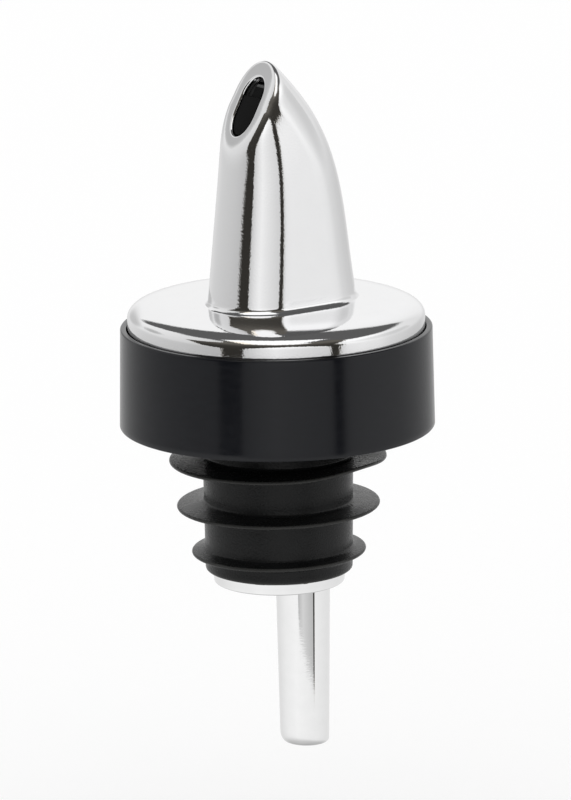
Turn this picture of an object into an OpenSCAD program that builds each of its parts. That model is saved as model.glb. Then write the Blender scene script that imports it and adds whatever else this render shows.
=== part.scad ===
// Bottle pourer: a plated fin spout with a gravity gate in its slanted mouth, on a domed flange cap,
// a black collar, a stopper sleeve with three fins, and a breather tube below.
// Millimetres. Z is up. The origin is on the stopper axis, where the bottle lip stops.
// The mouth faces -Y and the breather tube stands off the axis towards +Y.

/* [Collar] */
// Outside diameter at the lower edge
collar_d = 35; // [34:0.5:40]
// How much the diameter shrinks from the lower edge to the rim
collar_draft = 0.4; // [0:0.1:0.6]
// Height of the rim above the bottle lip
collar_rise = 4.4; // [4:0.1:6]
// Depth of the skirt below the bottle lip
collar_skirt = 6.8; // [4.5:0.1:9]
// Thickness of the skirt
collar_wall = 1; // [0.8:0.1:1.6]
// Thickness of the shelf inside the collar
collar_shelf = 1.2; // [0.8:0.1:1.4]
// Rounding of the lower edge
collar_edge = 0.2; // [0.1:0.05:0.5]

/* [Flange cap] */
// Thickness of the rim that stands round the cap
rim_wall = 0.7; // [0.5:0.1:1.1]
// Dark gap between the cap and the rim
rim_gap = 0.1; // [0.05:0.05:0.3]
// Height of the cap's flat top above the collar rim
cap_rise = 2.9; // [2.6:0.1:4]
// Thickness of the cap
cap_wall = 1.2; // [1:0.1:1.4]
// Rounding of the cap's shoulder
cap_edge = 1.4; // [1.2:0.1:1.5]
// Fall of the top from its flat middle to the shoulder
cap_fall = 0.35; // [0.1:0.05:0.4]
// Width of the falling band round the flat middle
cap_band = 3.6; // [2.5:0.1:4]

/* [Spout] */
// Height of the tip above the cap
spout_rise = 27.15; // [25:0.05:30]
// Length of the foot from front to rear
spout_len = 17.65; // [17:0.05:18.5]
// Width of the foot
spout_w = 11.5; // [11:0.05:12]
// Reach of the foot in front of the stopper axis
spout_front = 8; // [7.6:0.1:8.4]
// Thickness of the plated shell
spout_wall = 1; // [0.9:0.05:1.05]
// How far the foot flares out where it meets the cap
foot_flare = 0.25; // [0:0.05:0.4]
// How far the foot rests on the cap round the spigot
foot_step = 0.4; // [0.3:0.05:0.5]
// Height of the slanted face, from its lower edge to the tip
face_drop = 9.45; // [9.2:0.05:10.2]
// Reach of the face's lower edge in front of the axis
face_front = 6.05; // [5.8:0.05:6.3]
// Reach of the tip in front of the axis
tip_front = 0.85; // [0.6:0.05:1.1]
// How much each side leans in from the foot to the face
side_taper = 0.95; // [0.8:0.05:1.1]
// Length of the rounded front end of each section
nose_l = 5.9; // [5.5:0.1:6.2]
// How much each side draws in towards the face
face_pinch = 0.9; // [0.6:0.05:1]
// Length of the skin that rolls over the face's lower edge
roll_low = 2.8; // [2.4:0.1:3.4]
// Length of the skin that rolls over the face's sides
roll_side = 1.9; // [1.6:0.1:2.4]
// Length of the skin that rolls over the tip
roll_tip = 1.2; // [0.8:0.1:1.6]
// Length of the face's lower end that rolls into the skin
lap_low = 0.9; // [0.6:0.05:1.1]
// Length of the face's sides that rolls into the skin
lap_side = 1; // [0.8:0.05:1.3]
// Length of the face's upper end that rolls into the skin
lap_tip = 0.8; // [0.5:0.05:1]

/* [Mouth and gate] */
// Distance of the mouth from the face's lower edge
mouth_from = 1.75; // [1.6:0.05:1.8]
// Length of the mouth up the slope
mouth_l = 7; // [6.6:0.1:7]
// Width of the mouth
mouth_w = 3.5; // [3.4:0.05:3.5]
// Length of the mouth's rounded lower end
mouth_nose = 2.7; // [2.2:0.1:3]
// Length of the mouth's rounded upper end
mouth_tail = 2.3; // [1.8:0.1:2.6]
// Rounding of the mouth's rim
mouth_edge = 0.2; // [0.1:0.05:0.25]
// Thickness of the lip round the mouth
lip_t = 0.8; // [0.7:0.05:0.9]
// Thickness of the gate's leaf
leaf_t = 0.6; // [0.4:0.05:0.6]
// Gap between the leaf's edge and the mouth
gate_gap = 0.15; // [0.1:0.01:0.2]
// Width of the gate's hinge barrel
barrel_w = 1.7; // [1.5:0.1:1.8]
// Outside diameter of the hinge barrel
barrel_d = 1.2; // [1.1:0.05:1.25]
// Diameter of the hinge pin
pin_d = 0.6; // [0.5:0.05:0.65]
// Distance of the hinge line from the mouth's upper end
pin_in = 1; // [0.9:0.05:1.1]

/* [Stopper] */
// Diameter of the sleeve below the bottle lip
cork_d = 17; // [16:0.1:17.6]
// How much the sleeve shrinks towards its lower end
cork_draft = 0.6; // [0:0.1:0.8]
// Length of the sleeve below the bottle lip
cork_l = 23.2; // [23:0.1:28]
// Diameter of the sleeve's flange that lies on the bottle lip
lip_d = 26; // [22:0.5:30]
// Thickness of that flange
lip_flange = 1.5; // [1:0.1:1.8]
// Diameter of the upper fin
fin_upper_d = 24.2; // [22:0.1:26]
// Diameter of the middle fin
fin_middle_d = 22.6; // [20:0.1:24]
// Diameter of the lower fin
fin_lower_d = 19.4; // [18.4:0.1:21]
// Depth of the upper fin below the bottle lip
fin_first = 10.6; // [10:0.1:11]
// Distance from one fin to the next
fin_pitch = 5.25; // [4.5:0.05:5.4]
// Thickness of a fin at its rim
fin_rim = 0.4; // [0.3:0.05:0.6]
// Thickness of a fin at its root
fin_root = 1; // [0.8:0.1:1.4]

/* [Stem and breather] */
// Outside diameter of the stem
stem_d = 12.8; // [12.4:0.1:13.2]
// Thickness of the stem
stem_wall = 0.9; // [0.7:0.05:1]
// Diameter of the disc at the foot of the stem
disc_d = 14.8; // [14.4:0.1:15.2]
// Thickness of that disc
disc_t = 1.4; // [1:0.05:2]
// Distance of the breather tube behind the stopper axis
breather_off = 3.2; // [3.2:0.05:3.5]
// Diameter of the breather tube at the disc
breather_d = 6.1; // [5.6:0.1:6.2]
// Diameter of the breather tube at its tip
breather_tip_d = 5.5; // [4.8:0.1:5.8]
// Length of the breather tube below the disc
breather_l = 19.4; // [14:0.05:30]
// Slant of the breather tube's end
breather_slant = 1; // [0:1:30]
// Outside diameter of the air duct
duct_d = 3; // [2.6:0.1:3.2]
// Thickness of the air duct
duct_wall = 0.4; // [0.3:0.05:0.6]
// Height of the air duct's top above the cap
duct_top = 8.5; // [4:0.5:11]
// Depth of the air duct in the breather tube
duct_seat = 5; // [3:0.5:8]

/* [Hidden] */

chrome = [0.86, 0.86, 0.87];
black = [0.05, 0.05, 0.055];
rubber = [0.07, 0.07, 0.07];
steel = [0.72, 0.72, 0.73];

// Smoothness of round faces and of the spout's sections
round_fn = 96;
sides = 48;
steps = 16;
skin_steps = 3;
edge_steps = 3;
// Overlap that joins two solids, and reach of a cut past a face
over = 0.2;
past = 1;

// Fits between pieces: fixed joints, loose seats, the running pin and the collar round the stem
snug = 0.005;
fit_gap = 0.05;
pin_run = 0.04;
shelf_gap = 0.3;

// Heights from the bottle lip upwards
shelf_z = lip_flange;
deck_z = shelf_z + collar_shelf;
rim_z = collar_rise;
cap_z = rim_z + cap_rise;
roof_z = cap_z - cap_wall;
flange_t = 1.2;
socket_z = roof_z - flange_t;
disc_z = -cork_l - disc_t;

// Radii
collar_r = collar_d / 2;
collar_top_r = collar_r - collar_draft / 2;
skirt_r = collar_r - collar_wall;
rim_r = collar_top_r - rim_wall;
cap_r = rim_r - rim_gap;
stem_r = stem_d / 2;
bore_r = stem_r - stem_wall;
shelf_r = stem_r + shelf_gap;
boss_wall = 2;
boss_r = stem_r + boss_wall;
disc_r = disc_d / 2;
duct_r = duct_d / 2;
pin_r = pin_d / 2;
barrel_r = barrel_d / 2;

// Control points of the spout's front and rear lines in the plane of symmetry, as reach and height
rear_reach = spout_len - spout_front;
face_rise = spout_rise - face_drop;
front_bow = 0.1;
front_low = [-spout_front, 0];
front_mid = [-front_bow - (spout_front + face_front) / 2, 0.48 * face_rise];
front_high = [-face_front, face_rise];
rear_low = [rear_reach, 0];
rear_waist = [0.8 * rear_reach, 0.326 * spout_rise];
rear_brow = [0.965 * rear_reach, 0.691 * spout_rise];
tip = [-tip_front, spout_rise];

// How quickly the sides draw in below the face
pinch_power = 5;

// How far the skin is held out to the face's edge, or drawn in from it where negative
keep_low = -0.1;
keep_side = -0.55;
keep_tip = 0.45;

// Places up the skin that carry its smooth surface, and the one from which its speed is taken
skin_shares = [0, 0.14, 0.28, 0.42, 0.56, 0.7, 0.85, 1];
near_face = 0.98;

// How much farther in the inner skins lie at the face, below the rolled edge
roll_in = 0.4;

// Share of the spout's height in which the flare of the foot fades out
flare_fade = 0.02;

// Walls of the inner spout, and its flange under the cap
inner_wall = 0.6;
inner_in = spout_wall + fit_gap;
chamber_in = inner_in + inner_wall;
flange_reach = 1.5;
flange_r = max(spout_front, rear_reach) + flange_reach;

// The mouth's plane, and the mouth's middle as a distance up the slope
slope = tip - front_high;
mouth_tilt = atan2(slope[1], slope[0]);
mouth_mid = mouth_from + mouth_l / 2;

// Seat of the gate behind the lip: its depth, its ledge inside the mouth and its thickness
seat_depth = lip_t + fit_gap;
seat_ledge = 0.65;
seat_t = 1.1;

// Gate leaf on its seat, as depths below the mouth's face
leaf_back = seat_depth - fit_gap;

// Hinge of the gate, measured up the slope and down from the face
pin_cover = 0.15;
pin_land = 0.6;
pin_s = mouth_from + mouth_l - pin_in;
pin_depth = seat_depth + pin_cover + pin_r;
pin_l = barrel_w + 2 * pin_land;
pocket_gap = 0.2;
pocket_w = barrel_w + 2 * pocket_gap;

// Neck between the leaf and the hinge barrel
neck_l = 1.3;
neck_t = 0.4;
neck_back = pin_depth - pin_r;
leaf_top = pin_s - neck_l;

// Liquor port beside the air duct in the disc
port_web = 0.8;
port_y = breather_off - duct_r - port_web;

function quad(a, b, c, t) = a * pow(1 - t, 2) + 2 * b * t * (1 - t) + c * t * t;
function cubic(a, b, c, d, t) =
    a * pow(1 - t, 3) + 3 * b * t * pow(1 - t, 2) + 3 * c * t * t * (1 - t) + d * pow(t, 3);
function front_line(t) = quad(front_low, front_mid, front_high, t);
function rear_line(t) = cubic(rear_low, rear_waist, rear_brow, tip, t);

// Direction of point i on a round-ended outline, from the upper end
function turn(i) = 360 * (i + 0.5) / sides;

// Outline with half length a and half width b, and with the lengths of its round lower and upper ends
function oval(a, b, nose, tail) =
    [for (i = [0:sides - 1])
        let (rise = cos(turn(i)))
        [b * sin(turn(i)), rise < 0 ? nose * (1 + rise) - a : a - tail * (1 - rise)]];

// Value at point i of an outline that changes from its lower end over its sides to its upper end
function round_value(low, side, high, i) =
    side + ((cos(turn(i)) < 0 ? low : high) - side) * pow(cos(turn(i)), 2);

// Oval with its middle at a distance up the line from low to high, sunk below its plane
function ring_on(low, high, outline, mid, sink) =
    let (
        along = (high - low) / norm(high - low),
        inward = [along[1], -along[0]],
        middle = low + along * mid + inward * sink
    )
    [for (p = outline)
        let (at = middle + along * p[1])
        [p[0], at[0], cap_z + at[1]]];

// Section of the spout at t from 0 at the foot to 1 at the mouth; the sink grows towards the mouth
function section(t, inset, depth) =
    let (
        low = front_line(t),
        high = rear_line(t),
        half_l = norm(high - low) / 2,
        half_pinch = face_pinch * pow(t, pinch_power) / 2,
        nose = nose_l - half_pinch - inset,
        tail = spout_w / 2 - side_taper * t - half_pinch - inset
    )
    ring_on(low, high, oval(half_l - inset, tail - half_pinch, nose, tail), half_l, depth * pow(t, 3));

// Section of an inner skin, which draws in towards the face
function inner_section(t, inset, depth) =
    section(t, inset + roll_in * pow(t, pinch_power), depth);

// Outline of the mouth, inset from its edge, and the same in its place and sunk below the face
function mouth_outline(inset) =
    oval(mouth_l / 2 - inset, mouth_w / 2 - inset, mouth_nose - inset, mouth_tail - inset);
function mouth_ring(inset, sink) = ring_on(front_high, tip, mouth_outline(inset), mouth_mid, sink);

// The foot's outline, flat and at height z
function foot_outline(inset) = [for (p = section(0, inset, 0)) [p[0], p[1]]];
function foot(inset, z) = [for (p = foot_outline(inset)) [p[0], p[1], z]];

// Rings of a smooth spline from its first control ring up to its last one, which it leaves out
function spline(rings) =
    let (
        last = len(rings) - 1,
        rows = concat([2 * rings[0] - rings[1]], rings, [2 * rings[last] - rings[last - 1]])
    )
    [for (j = [0:last - 1], k = [0:skin_steps - 1])
        let (t = k / skin_steps)
        (pow(1 - t, 3) * rows[j]
            + (3 * pow(t, 3) - 6 * t * t + 4) * rows[j + 1]
            + (1 + 3 * t + 3 * t * t - 3 * pow(t, 3)) * rows[j + 2]
            + pow(t, 3) * rows[j + 3]) / 6];

// Rings of the spout's skin from above the flare over the face's rolled edge to the mouth's rim
function outer_skin() =
    let (
        points = [0:sides - 1],
        edge = section(1, 0, 0),
        near = section(near_face, 0, 0),
        rim = mouth_ring(-mouth_edge, 0),
        starts = [for (i = points)
            1 - round_value(roll_low, roll_side, roll_tip, i) * (1 - near_face) / norm(edge[i] - near[i])],
        laps = [for (i = points)
            let (inward = (rim[i] - edge[i]) / norm(rim[i] - edge[i]))
            edge[i] + inward * round_value(lap_low, lap_side, lap_tip, i)],
        corners = [for (i = points)
            let (before = section(starts[i], 0, 0)[i])
            edge[i] + round_value(keep_low, keep_side, keep_tip, i) * (2 * edge[i] - before - laps[i]) / 4],
        skins = [for (share = skin_shares)
            [for (i = points) section(flare_fade + (starts[i] - flare_fade) * share, 0, 0)[i]]]
    )
    spline(concat(skins, [corners, laps, rim]));

// Faces between two rings, given by the numbers of their first points
function strip(low, high) =
    [for (i = [0:sides - 1])
        let (next = (i + 1) % sides)
        each [[low + i, high + next, high + i], [low + i, low + next, high + next]]];
function turned(faces) = [for (f = faces) [f[2], f[1], f[0]]];

// Closed wall between an outer and an inner skin, each a list of rings from the foot to the mouth
module wall_between(outer, inner) {
    first = len(outer);
    last = first + len(inner) - 1;
    polyhedron(
        points = [for (ring = concat(outer, inner)) each ring],
        faces = concat(
            [for (j = [0:first - 2]) each strip(j * sides, (j + 1) * sides)],
            [for (j = [first:last - 1]) each turned(strip(j * sides, (j + 1) * sides))],
            strip((first - 1) * sides, last * sides),
            strip(first * sides, 0)
        )
    );
}

// Places a piece in the mouth's plane: Y up the slope, Z out of the mouth
module at_mouth() {
    translate([0, front_high[0], cap_z + front_high[1]])
        rotate([mouth_tilt, 0, 0])
            children();
}

// Round bar across the spout on the gate's hinge line
module hinge_bar(r, l) {
    at_mouth()
        translate([0, pin_s, -pin_depth])
            rotate([0, 90, 0])
                cylinder(r = r, h = l, center = true, $fn = round_fn);
}

// Upright round bar from z upwards, at a distance behind the stopper axis
module post(r, z, h, y = 0) {
    translate([0, y, z])
        cylinder(r = r, h = h, $fn = round_fn);
}

module collar() {
    color(black)
        rotate_extrude($fn = round_fn) {
            polygon([
                [skirt_r, -collar_skirt],
                [collar_r - collar_edge, -collar_skirt],
                [collar_r, collar_edge - collar_skirt],
                [collar_top_r, rim_z],
                [rim_r, rim_z],
                [rim_r, deck_z],
                [shelf_r, deck_z],
                [shelf_r, shelf_z],
                [skirt_r, shelf_z]
            ]);
            translate([collar_r - collar_edge, collar_edge - collar_skirt])
                circle(r = collar_edge, $fn = round_fn);
        }
}

module flange_cap() {
    flat_r = cap_r - cap_edge - cap_band;
    shoulder_z = cap_z - cap_fall - cap_edge;
    color(chrome)
        difference() {
            rotate_extrude($fn = round_fn)
                difference() {
                    union() {
                        polygon([
                            [0, deck_z],
                            [cap_r, deck_z],
                            [cap_r, shoulder_z],
                            [cap_r - cap_edge, shoulder_z + cap_edge],
                            [flat_r, cap_z],
                            [0, cap_z]
                        ]);
                        translate([cap_r - cap_edge, shoulder_z])
                            circle(r = cap_edge, $fn = round_fn);
                    }
                    translate([0, deck_z - past])
                        square([cap_r - cap_wall, roof_z - deck_z + past]);
                }
            translate([0, 0, roof_z - past])
                linear_extrude(cap_wall + 2 * past)
                    polygon(foot_outline(foot_step - fit_gap));
        }
}

module spout_shell() {
    turns = [for (k = [0:edge_steps]) 90 * k / edge_steps];
    color(chrome)
        wall_between(
            concat(
                [foot(foot_step, roof_z), foot(foot_step, cap_z), foot(-foot_flare, cap_z)],
                outer_skin(),
                [for (q = turns) mouth_ring(mouth_edge * (sin(q) - 1), mouth_edge * (1 - cos(q)))]
            ),
            concat(
                [foot(spout_wall, roof_z)],
                [for (j = [0:steps]) inner_section(j / steps, spout_wall, lip_t)],
                [mouth_ring(0, lip_t)]
            )
        );
}

module inner_spout() {
    low_z = roof_z - over;
    seat_back = seat_depth + seat_t;
    color(black)
        difference() {
            union() {
                wall_between(
                    concat(
                        [foot(inner_in, low_z)],
                        [for (j = [0:steps]) inner_section(j / steps, inner_in, seat_depth)],
                        [mouth_ring(seat_ledge, seat_depth)]
                    ),
                    concat(
                        [foot(chamber_in, low_z)],
                        [for (j = [0:steps]) inner_section(j / steps, chamber_in, seat_back)],
                        [mouth_ring(seat_ledge, seat_back)]
                    )
                );
                post(flange_r, socket_z, flange_t);
                post(boss_r, deck_z, low_z - deck_z);
            }
            post(stem_r + snug, deck_z - past, socket_z - deck_z + past);
            intersection() {
                post(bore_r, socket_z - past, flange_t + 2 * past);
                translate([0, 0, socket_z - past])
                    linear_extrude(flange_t + 2 * past)
                        polygon(foot_outline(chamber_in));
            }
            at_mouth()
                translate([-pocket_w / 2, leaf_top, -pin_depth])
                    cube([pocket_w, neck_l, pin_depth]);
            hinge_bar(barrel_r + pocket_gap, pocket_w);
            hinge_bar(pin_r + snug, pin_l + 2 * snug);
        }
}

module gate_flap() {
    color(black)
        difference() {
            union() {
                at_mouth() {
                    translate([0, 0, -leaf_back])
                        linear_extrude(leaf_t)
                            intersection() {
                                translate([0, mouth_mid])
                                    polygon(mouth_outline(gate_gap));
                                translate([-mouth_w, 0])
                                    square([2 * mouth_w, leaf_top]);
                            }
                    translate([-barrel_w / 2, leaf_top - over, -neck_back])
                        cube([barrel_w, neck_l + over, neck_t]);
                }
                hinge_bar(barrel_r, barrel_w);
            }
            hinge_bar(pin_r + pin_run, barrel_w + past);
        }
}

module gate_pin() {
    color(steel)
        hinge_bar(pin_r, pin_l);
}

module cork_sleeve() {
    draft = cork_draft / 2 / cork_l;
    fins = [fin_upper_d, fin_middle_d, fin_lower_d];
    color(rubber)
        rotate_extrude($fn = round_fn) {
            polygon([
                [stem_r + snug, lip_flange],
                [stem_r + snug, -cork_l],
                [cork_d / 2 - draft * cork_l, -cork_l],
                [cork_d / 2, 0],
                [lip_d / 2, 0],
                [lip_d / 2, lip_flange]
            ]);
            for (i = [0:len(fins) - 1])
                let (depth = fin_first + i * fin_pitch, root = cork_d / 2 - draft * depth)
                translate([0, -depth])
                    polygon([
                        [root - over, -fin_root / 2],
                        [root, -fin_root / 2],
                        [fins[i] / 2, -fin_rim / 2],
                        [fins[i] / 2, fin_rim / 2],
                        [root, fin_root / 2],
                        [root - over, fin_root / 2]
                    ]);
        }
}

module stem() {
    color(chrome)
        difference() {
            union() {
                post(stem_r, -cork_l, cork_l + socket_z);
                post(disc_r, disc_z, disc_t);
            }
            post(bore_r, -cork_l, cork_l + socket_z + past);
            intersection() {
                post(bore_r, disc_z - past, disc_t + 2 * past);
                translate([-disc_r, -disc_r, disc_z - past])
                    cube([disc_d, disc_r + port_y, disc_t + 2 * past]);
            }
            post(duct_r + snug, disc_z - past, disc_t + 2 * past, breather_off);
        }
}

module breather_tube() {
    color(chrome)
        difference() {
            translate([0, breather_off, disc_z - breather_l])
                cylinder(d1 = breather_tip_d, d2 = breather_d, h = breather_l, $fn = round_fn);
            post(duct_r + snug, disc_z - breather_l - past, breather_l + 2 * past, breather_off);
            translate([0, breather_off + breather_tip_d / 2, disc_z - breather_l])
                rotate([-breather_slant, 0, 0])
                    translate([-breather_d, -2 * breather_d, -breather_l])
                        cube([2 * breather_d, 3 * breather_d, breather_l]);
        }
}

module air_duct() {
    low_z = disc_z - duct_seat;
    duct_l = cap_z + duct_top - low_z;
    color(steel)
        difference() {
            post(duct_r, low_z, duct_l, breather_off);
            post(duct_r - duct_wall, low_z - past, duct_l + 2 * past, breather_off);
        }
}

collar();
flange_cap();
spout_shell();
inner_spout();
gate_flap();
gate_pin();
cork_sleeve();
stem();
breather_tube();
air_duct();
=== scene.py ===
"""Looks of a bottle pourer: plated spout and cap, black collar, finned stopper, breather tube and gate.

Laid out as an add-on and run as a script. Metres. Z is up along the stopper, and the mouth faces -Y.
"""

import math

import bmesh
import bpy
from bpy.props import FloatProperty, FloatVectorProperty, PointerProperty
from bpy.types import Operator, Panel, PropertyGroup
from mathutils import Matrix, Vector


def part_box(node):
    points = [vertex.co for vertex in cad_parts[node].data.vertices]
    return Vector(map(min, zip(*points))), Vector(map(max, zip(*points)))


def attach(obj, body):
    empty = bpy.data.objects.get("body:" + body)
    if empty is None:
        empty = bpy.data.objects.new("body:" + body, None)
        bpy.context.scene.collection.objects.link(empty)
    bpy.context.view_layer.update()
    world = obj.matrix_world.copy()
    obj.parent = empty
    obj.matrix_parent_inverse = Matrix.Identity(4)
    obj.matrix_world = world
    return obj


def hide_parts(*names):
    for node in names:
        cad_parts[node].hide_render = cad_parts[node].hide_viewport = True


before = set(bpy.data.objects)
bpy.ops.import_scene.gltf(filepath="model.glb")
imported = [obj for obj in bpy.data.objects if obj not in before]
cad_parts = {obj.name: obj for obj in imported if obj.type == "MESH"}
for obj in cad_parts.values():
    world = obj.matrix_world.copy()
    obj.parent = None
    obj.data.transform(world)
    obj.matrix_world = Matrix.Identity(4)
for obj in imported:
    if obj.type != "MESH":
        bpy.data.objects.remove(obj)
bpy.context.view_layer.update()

bl_info = {
    "name": "Bottle pourer",
    "version": (1, 0, 0),
    "blender": (4, 5, 0),
    "location": "View3D > Sidebar > Pourer",
    "description": "Builds the pieces, finishes and stage of a bottle pourer on its solids",
    "category": "Mesh",
}

MM = 0.001

# Corners of the solids, which give the sizes that both models share
CAP_LOW, CAP_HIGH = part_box("flange_cap")
COLLAR_LOW, COLLAR_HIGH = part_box("collar")
SLEEVE_LOW, SLEEVE_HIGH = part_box("cork_sleeve")
STEM_LOW, STEM_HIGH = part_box("stem")
TUBE_LOW, TUBE_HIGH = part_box("breather_tube")

# Number of faces round a turned piece, an oval's end, its side and a rounded edge, and down the tube
TURN_STEPS = 160
END_STEPS = 56
SIDE_STEPS = 28
EDGE_STEPS = 6
WALL_STEPS = 20
# Longest face along a straight stretch of a turned outline
FACE_STEP = 0.6 * MM
# Corners closer than this become one, and edges sharper than this stay sharp
WELD = 1e-4 * MM
SHARP_ANGLE = math.radians(38)
# Angles of the corners round a turned piece
TURNS = [2 * math.pi * i / TURN_STEPS for i in range(TURN_STEPS)]


def length(name, default, description):
    """Property for a size in metres."""
    return FloatProperty(name=name, description=description, default=default, unit="LENGTH", precision=5)


def mm(name, default, description):
    """Property for a size in metres, with its default in millimetres."""
    return length(name, default * MM, description)


def angle(name, default, description):
    """Property for an angle, with its default in degrees."""
    return FloatProperty(
        name=name,
        description=description,
        default=math.radians(default),
        subtype="ANGLE",
        unit="ROTATION",
    )


def colour(name, default, description):
    """Property for a linear colour."""
    return FloatVectorProperty(
        name=name, description=description, default=default, subtype="COLOR", min=0.0, max=1.0
    )


class SpoutSizes(PropertyGroup):
    """Sizes of the spout, its slanted face and its mouth."""

    foot_z: length("Foot height", CAP_HIGH.z, "Height of the cap's top, on which the foot stands")
    spigot: mm("Spigot", 1.2, "Depth of the foot in the cap")
    rise: mm("Rise", 27.15, "Height of the tip above the cap")
    long: mm("Foot length", 17.65, "Length of the foot from front to rear")
    wide: mm("Foot width", 11.5, "Width of the foot")
    front: mm("Foot front", 8.0, "Reach of the foot in front of the stopper axis")
    wall: mm("Wall", 1.0, "Thickness of the shell")
    roll_in: mm("Wall growth", 0.4, "How much thicker the wall is under the face's rolled edge")
    flare: mm("Flare", 0.25, "How far the foot flares out on the cap")
    flare_rise: mm("Flare height", 0.7, "Height in which the flare fades out")
    foot_step: mm("Foot step", 0.4, "How far the foot rests on the cap round the spigot")
    bow: mm("Bow", 0.1, "How far the front line bows forwards")
    face_drop: mm("Face drop", 9.45, "Height of the slanted face")
    face_front: mm("Face front", 6.05, "Reach of the face's lower edge in front of the axis")
    tip_front: mm("Tip front", 0.85, "Reach of the tip in front of the axis")
    taper: mm("Taper", 0.95, "How much each side leans in from the foot to the face")
    nose: mm("Nose", 5.9, "Length of the rounded front end of each section")
    pinch: mm("Pinch", 0.9, "How much each side draws in just below the face")
    roll_low: mm("Lower roll", 2.8, "Length of the skin that rolls over the face's lower edge")
    roll_side: mm("Side roll", 1.9, "Length of the skin that rolls over the face's sides")
    roll_tip: mm("Tip roll", 1.2, "Length of the skin that rolls over the tip")
    lap_low: mm("Lower lap", 1.35, "Length of the face's lower end that rolls into the skin")
    lap_side: mm("Side lap", 1.0, "Length of the face's sides that rolls into the skin")
    lap_tip: mm("Tip lap", 0.8, "Length of the face's upper end that rolls into the skin")
    mouth_from: mm("Mouth start", 1.75, "Distance of the mouth from the face's lower edge")
    mouth_long: mm("Mouth length", 7.0, "Length of the mouth up the slope")
    mouth_wide: mm("Mouth width", 3.5, "Width of the mouth")
    mouth_nose: mm("Mouth's lower end", 2.7, "Length of the mouth's rounded lower end")
    mouth_tail: mm("Mouth's upper end", 2.3, "Length of the mouth's rounded upper end")
    mouth_round: mm("Mouth rounding", 0.25, "Rounding of the mouth's rim")
    lip: mm("Lip", 0.8, "Thickness of the lip round the mouth")


class CapSizes(PropertyGroup):
    """Sizes of the domed flange cap."""

    radius: length("Radius", CAP_HIGH.x, "Outside radius")
    flat: mm("Flat radius", 10.6, "Radius of the flat middle")
    low_z: length("Lower edge", CAP_LOW.z, "Height of the lower edge")
    top_z: length("Top", CAP_HIGH.z, "Height of the flat middle")
    wall: mm("Wall", 1.2, "Thickness of the cap")
    edge: mm("Edge", 0.15, "Rounding of the lower edge")


class CollarSizes(PropertyGroup):
    """Sizes of the collar."""

    radius: length("Radius", COLLAR_HIGH.y, "Outside radius at the lower edge")
    draft: mm("Draft", 0.2, "How much the radius shrinks up to the rim")
    low_z: length("Lower edge", COLLAR_LOW.z, "Height of the lower edge")
    rim_z: length("Rim", COLLAR_HIGH.z, "Height of the rim")
    wall: mm("Skirt", 1.0, "Thickness of the skirt")
    rim_wall: mm("Rim wall", 0.7, "Thickness of the rim")
    deck_z: length("Deck", CAP_LOW.z, "Height of the shelf's upper face, under the cap")
    shelf_z: length("Shelf", SLEEVE_HIGH.z, "Height of the shelf's lower face, on the stopper's flange")
    hole: mm("Hole", 6.7, "Radius of the hole round the stem")
    foot_edge: mm("Lower rounding", 0.2, "Rounding of the outer lower edge")
    rim_edge: mm("Rim rounding", 0.18, "Rounding of the rim")


class StopperSizes(PropertyGroup):
    """Sizes of the stopper sleeve and its fins."""

    radius: mm("Radius", 8.5, "Outside radius at the bottle lip")
    low_radius: mm("Lower radius", 8.2, "Outside radius at the lower end")
    bore: mm("Bore", 6.405, "Inside radius, on the stem")
    low_z: length("Lower end", SLEEVE_LOW.z, "Height of the lower end")
    flange: length("Flange", SLEEVE_HIGH.x, "Radius of the flange on the bottle lip")
    flange_z: length("Flange top", SLEEVE_HIGH.z, "Height of the flange's upper face")
    fin_upper: mm("Upper fin", 12.1, "Radius of the upper fin")
    fin_middle: mm("Middle fin", 11.3, "Radius of the middle fin")
    fin_lower: mm("Lower fin", 9.7, "Radius of the lower fin")
    fin_first: mm("First fin", 10.6, "Depth of the upper fin below the bottle lip")
    fin_pitch: mm("Fin pitch", 5.25, "Distance from one fin to the next")
    fin_rim: mm("Fin rim", 0.4, "Thickness of a fin at its rim")
    fin_root: mm("Fin root", 1.0, "Thickness of a fin at its root")
    fillet: mm("Fillet", 0.3, "Rounding where a fin meets the sleeve")
    edge: mm("Edge", 0.3, "Rounding of the lower end")
    lean: angle("Lean", 0.7, "Lean of the fins")
    lean_at: angle("Lean direction", -35, "Way the fins lean down, from the mouth's side towards +X")
    curl: mm("Curl", 0.5, "How far one side of the upper fin curls up")
    curl_at: angle("Curl direction", 105, "Direction of the curl, from the mouth's side towards +X")
    curl_spread: angle("Curl spread", 24, "Half width of the curl round the fin")


class StemSizes(PropertyGroup):
    """Sizes of the stem, its disc and the breather tube."""

    radius: mm("Radius", 6.4, "Outside radius of the stem")
    bore: mm("Bore", 5.5, "Inside radius of the stem")
    top_z: length("Top", STEM_HIGH.z, "Height of the stem's upper end")
    disc: length("Disc", STEM_HIGH.x, "Radius of the disc")
    disc_z: length("Disc height", STEM_LOW.z, "Height of the disc's lower face")
    disc_thick: mm("Disc thickness", 1.4, "Thickness of the disc")
    disc_draft: mm("Disc draft", 0.12, "How far the disc narrows downwards")
    disc_inner: mm("Disc rim", 6.6, "Inside radius of the disc's rim")
    disc_edge: mm("Disc edge", 0.15, "Rounding of the disc's edge")
    port_y: mm("Port", 0.9, "Reach of the liquor port behind the axis")
    tube_y: mm("Tube distance", 3.2, "Distance of the breather tube behind the axis")
    tube_top: length("Tube top", TUBE_HIGH.x, "Radius of the breather tube at the disc")
    tube_tip: mm("Tube tip", 2.75, "Radius of the breather tube at its tip")
    tube_bore: mm("Tube bore", 1.505, "Inside radius of the breather tube")
    tube_z: length("Tube end", TUBE_LOW.z, "Height of the breather tube's lowest point")
    tube_slant: angle("Tube slant", 1, "Slant of the breather tube's end")
    tube_edge: mm("Tube edge", 0.4, "Rounding of the tube's end on its longer side")
    tube_round: mm("Tube rounding", 0.75, "Rounding of the tube's end on its shorter side")


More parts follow.
